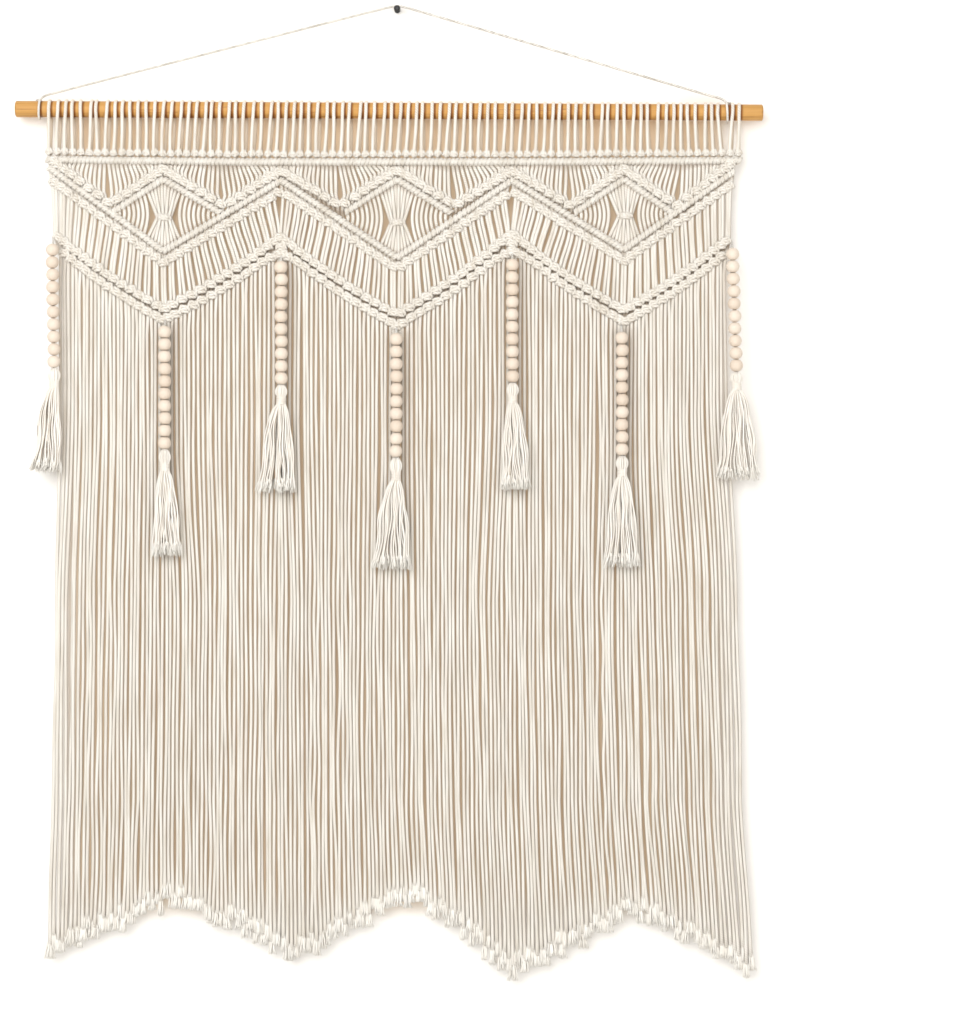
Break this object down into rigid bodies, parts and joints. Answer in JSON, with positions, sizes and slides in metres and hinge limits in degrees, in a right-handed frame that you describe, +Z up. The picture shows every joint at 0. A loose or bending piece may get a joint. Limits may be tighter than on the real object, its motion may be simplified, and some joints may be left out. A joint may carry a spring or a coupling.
{
  "type": "macrame wall hanging on a wooden rod with hanging cord and wall pin",
  "caption": "Knotted cotton net on a round wooden rod, with diamond openings, strings of beads, tassels and a long scalloped fringe, hung by a thin cord from a wall pin.",
  "frame": {"origin": "middle of the wall pin's flat back, on the wall's face", "axes": "+Z up along the hanging's length, +X to the right along the rod, +Y into the wall"},
  "size_m": [0.915, 0.0379, 1.1871],
  "materials": {
    "cotton_cord": "natural unbleached cotton, matt, softly twisted",
    "rod_wood": "golden softwood with straight grain, lightly oiled",
    "bead_wood": "pale unfinished hardwood, sanded smooth",
    "black_metal": "black, slightly glossy"
  },
  "bodies": {
    "root": {"rod": "rod_wood", "heading": "cotton_cord", "knotted_panel": "cotton_cord", "fringe": "cotton_cord", "bead_string_1": "bead_wood", "bead_string_2": "bead_wood", "bead_string_3": "bead_wood", "bead_string_4": "bead_wood", "bead_string_5": "bead_wood", "bead_string_6": "bead_wood", "bead_string_7": "bead_wood", "tassel_1": "cotton_cord", "tassel_2": "cotton_cord", "tassel_3": "cotton_cord", "tassel_4": "cotton_cord", "tassel_5": "cotton_cord", "tassel_6": "cotton_cord", "tassel_7": "cotton_cord", "hanging_cord": "cotton_cord", "wall_pin": "black_metal"}
  },
  "joints": []
}
